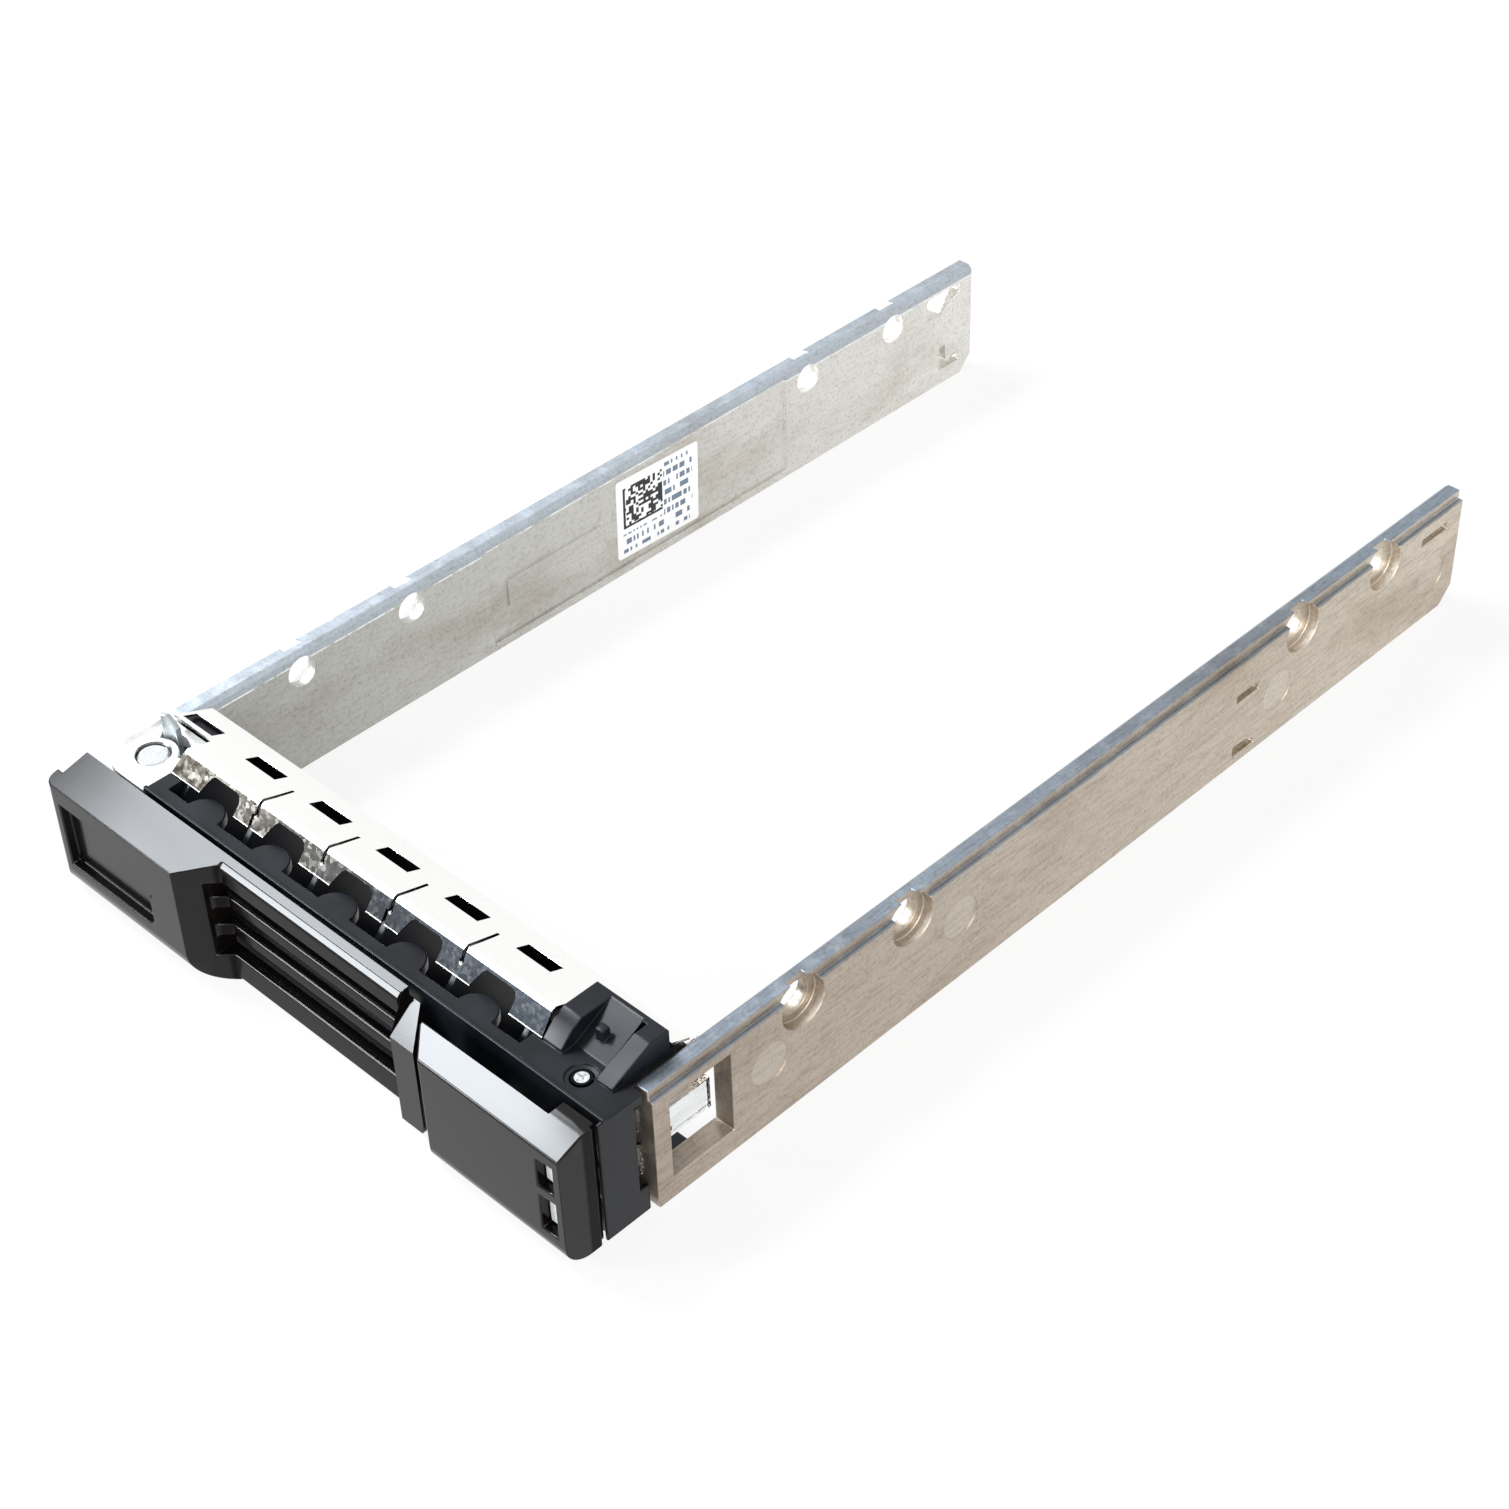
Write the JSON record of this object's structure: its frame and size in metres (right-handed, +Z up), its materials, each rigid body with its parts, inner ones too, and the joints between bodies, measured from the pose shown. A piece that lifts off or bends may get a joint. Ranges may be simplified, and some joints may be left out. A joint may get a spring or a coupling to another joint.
{
  "type": "hot swap drive caddy",
  "caption": "Open hot swap drive caddy: two side rails joined by a front frame with a sprung contact strip, a swinging lever handle and a push release button.",
  "frame": {"origin": "midway between the rails, in line with the rails' front ends, on the flat underside of the front frame", "axes": "+X along the front to the release button's side, +Y from the front towards the rear of the bay, +Z up"},
  "size_m": [0.0757, 0.1361, 0.0176],
  "materials": {
    "rail_metal": "die-cast, lightly brushed",
    "frame_black": "satin moulded",
    "strip_metal": "bright tinned spring sheet",
    "gloss_black": "high gloss moulded",
    "lever_metal": "die-cast",
    "clear_plastic": "clear polished",
    "pin_steel": "bright turned",
    "spring_steel": "oil-hardened wire",
    "label_white": "matt sticker"
  },
  "bodies": {
    "carrier": {"left_rail": "rail_metal", "right_rail": "rail_metal", "front_frame": "frame_black", "contact_strip": "strip_metal", "light_pipe_upper": "clear_plastic", "light_pipe_lower": "clear_plastic", "hinge_pin": "pin_steel", "pin_clip": "spring_steel", "corner_screw": "pin_steel", "left_screw": "pin_steel", "handle_spring": "spring_steel", "button_spring": "spring_steel", "id_label": "label_white"},
    "handle_arm": {"handle": "gloss_black", "handle_lever": "lever_metal", "lever_screws": "pin_steel", "latch_hook": "frame_black"},
    "button": {"release_button": "gloss_black"}
  },
  "joints": [
    {"name": "handle_hinge", "type": "hinge", "parent": "carrier", "child": "handle_arm", "pos_m": [-0.0329, -0.0012, 0.0073], "axis": [0, 0, -1], "range_deg": [0, 50]},
    {"name": "button_press", "type": "slide", "parent": "carrier", "child": "button", "axis": [0, 1, 0], "range_m": [0, 0.0005], "stiffness_N_per_m": 900, "springref_m": -0.0012}
  ]
}
